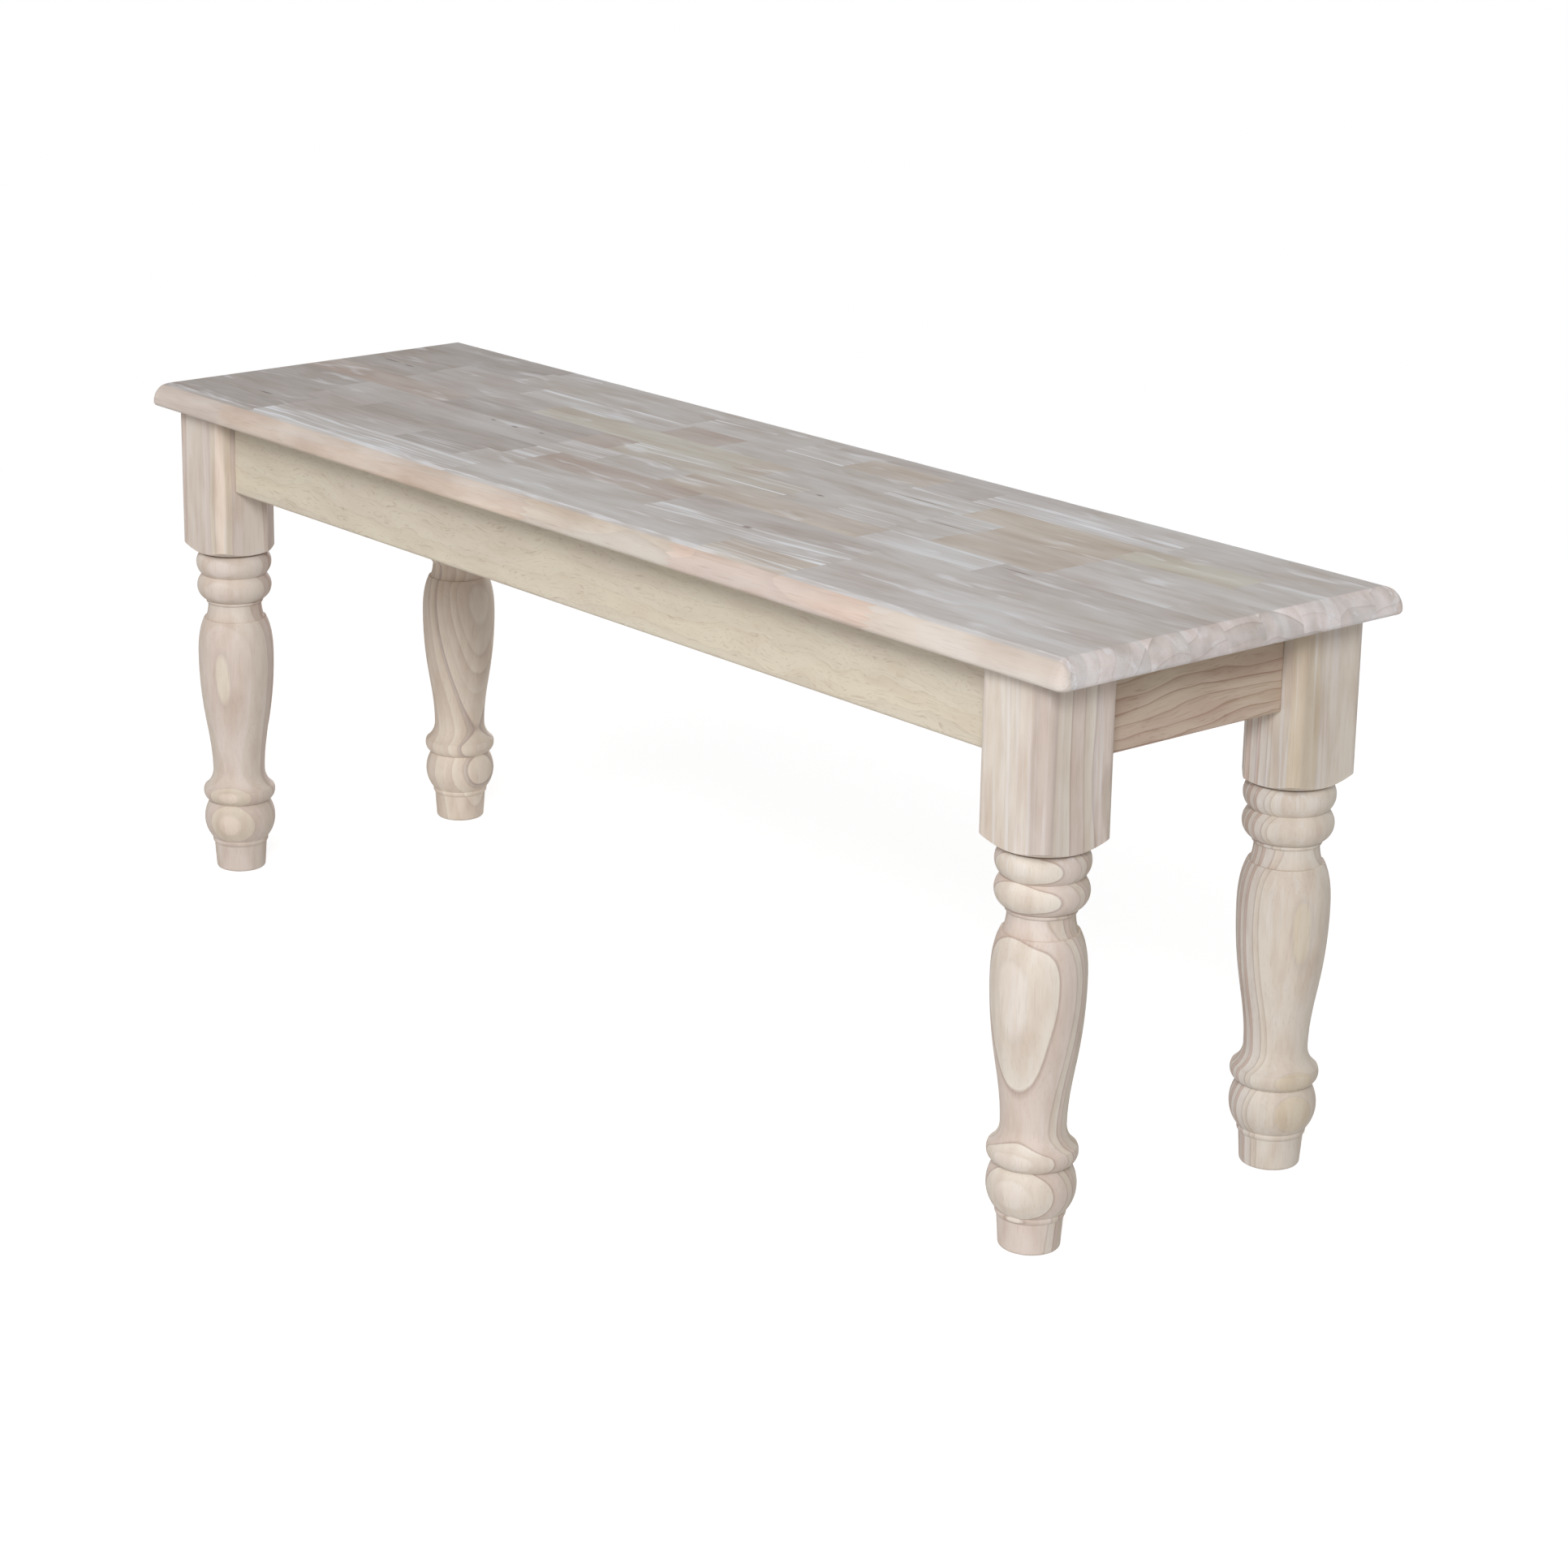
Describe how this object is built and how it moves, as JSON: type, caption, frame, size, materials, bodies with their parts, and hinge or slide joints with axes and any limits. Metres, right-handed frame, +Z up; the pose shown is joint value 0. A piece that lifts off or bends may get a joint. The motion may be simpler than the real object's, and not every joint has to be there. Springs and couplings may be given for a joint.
{
  "type": "farmhouse bench",
  "caption": "Wooden farmhouse bench with a moulded edge-glued seat, aprons all round and stout turned legs bolted to corner blocks.",
  "frame": {"origin": "on the floor, under the middle of the seat", "axes": "+X along the seat, +Y from the front to the back, +Z up"},
  "size_m": [1.188, 0.35, 0.46],
  "materials": {
    "seat_wood": "sanded, unfinished",
    "apron_wood": "sanded, unfinished",
    "leg_wood": "turned and sanded, unfinished",
    "frame_wood": "sawn, unfinished",
    "zinc_steel": "bright zinc plated"
  },
  "bodies": {
    "root": {"seat_stave_1": "seat_wood", "seat_stave_2": "seat_wood", "seat_stave_3": "seat_wood", "seat_stave_4": "seat_wood", "seat_stave_5": "seat_wood", "seat_stave_6": "seat_wood", "seat_stave_7": "seat_wood", "seat_stave_8": "seat_wood", "seat_stave_9": "seat_wood", "seat_stave_10": "seat_wood", "front_apron": "apron_wood", "back_apron": "apron_wood", "left_apron": "apron_wood", "right_apron": "apron_wood", "leg_front_left": "leg_wood", "leg_front_right": "leg_wood", "leg_back_left": "leg_wood", "leg_back_right": "leg_wood", "corner_block_front_left": "frame_wood", "corner_block_front_right": "frame_wood", "corner_block_back_left": "frame_wood", "corner_block_back_right": "frame_wood", "centre_brace": "frame_wood", "hanger_bolts": "zinc_steel", "bolt_washers": "zinc_steel", "bolt_nuts": "zinc_steel", "corner_block_screws": "zinc_steel", "seat_screws": "zinc_steel"}
  },
  "joints": []
}
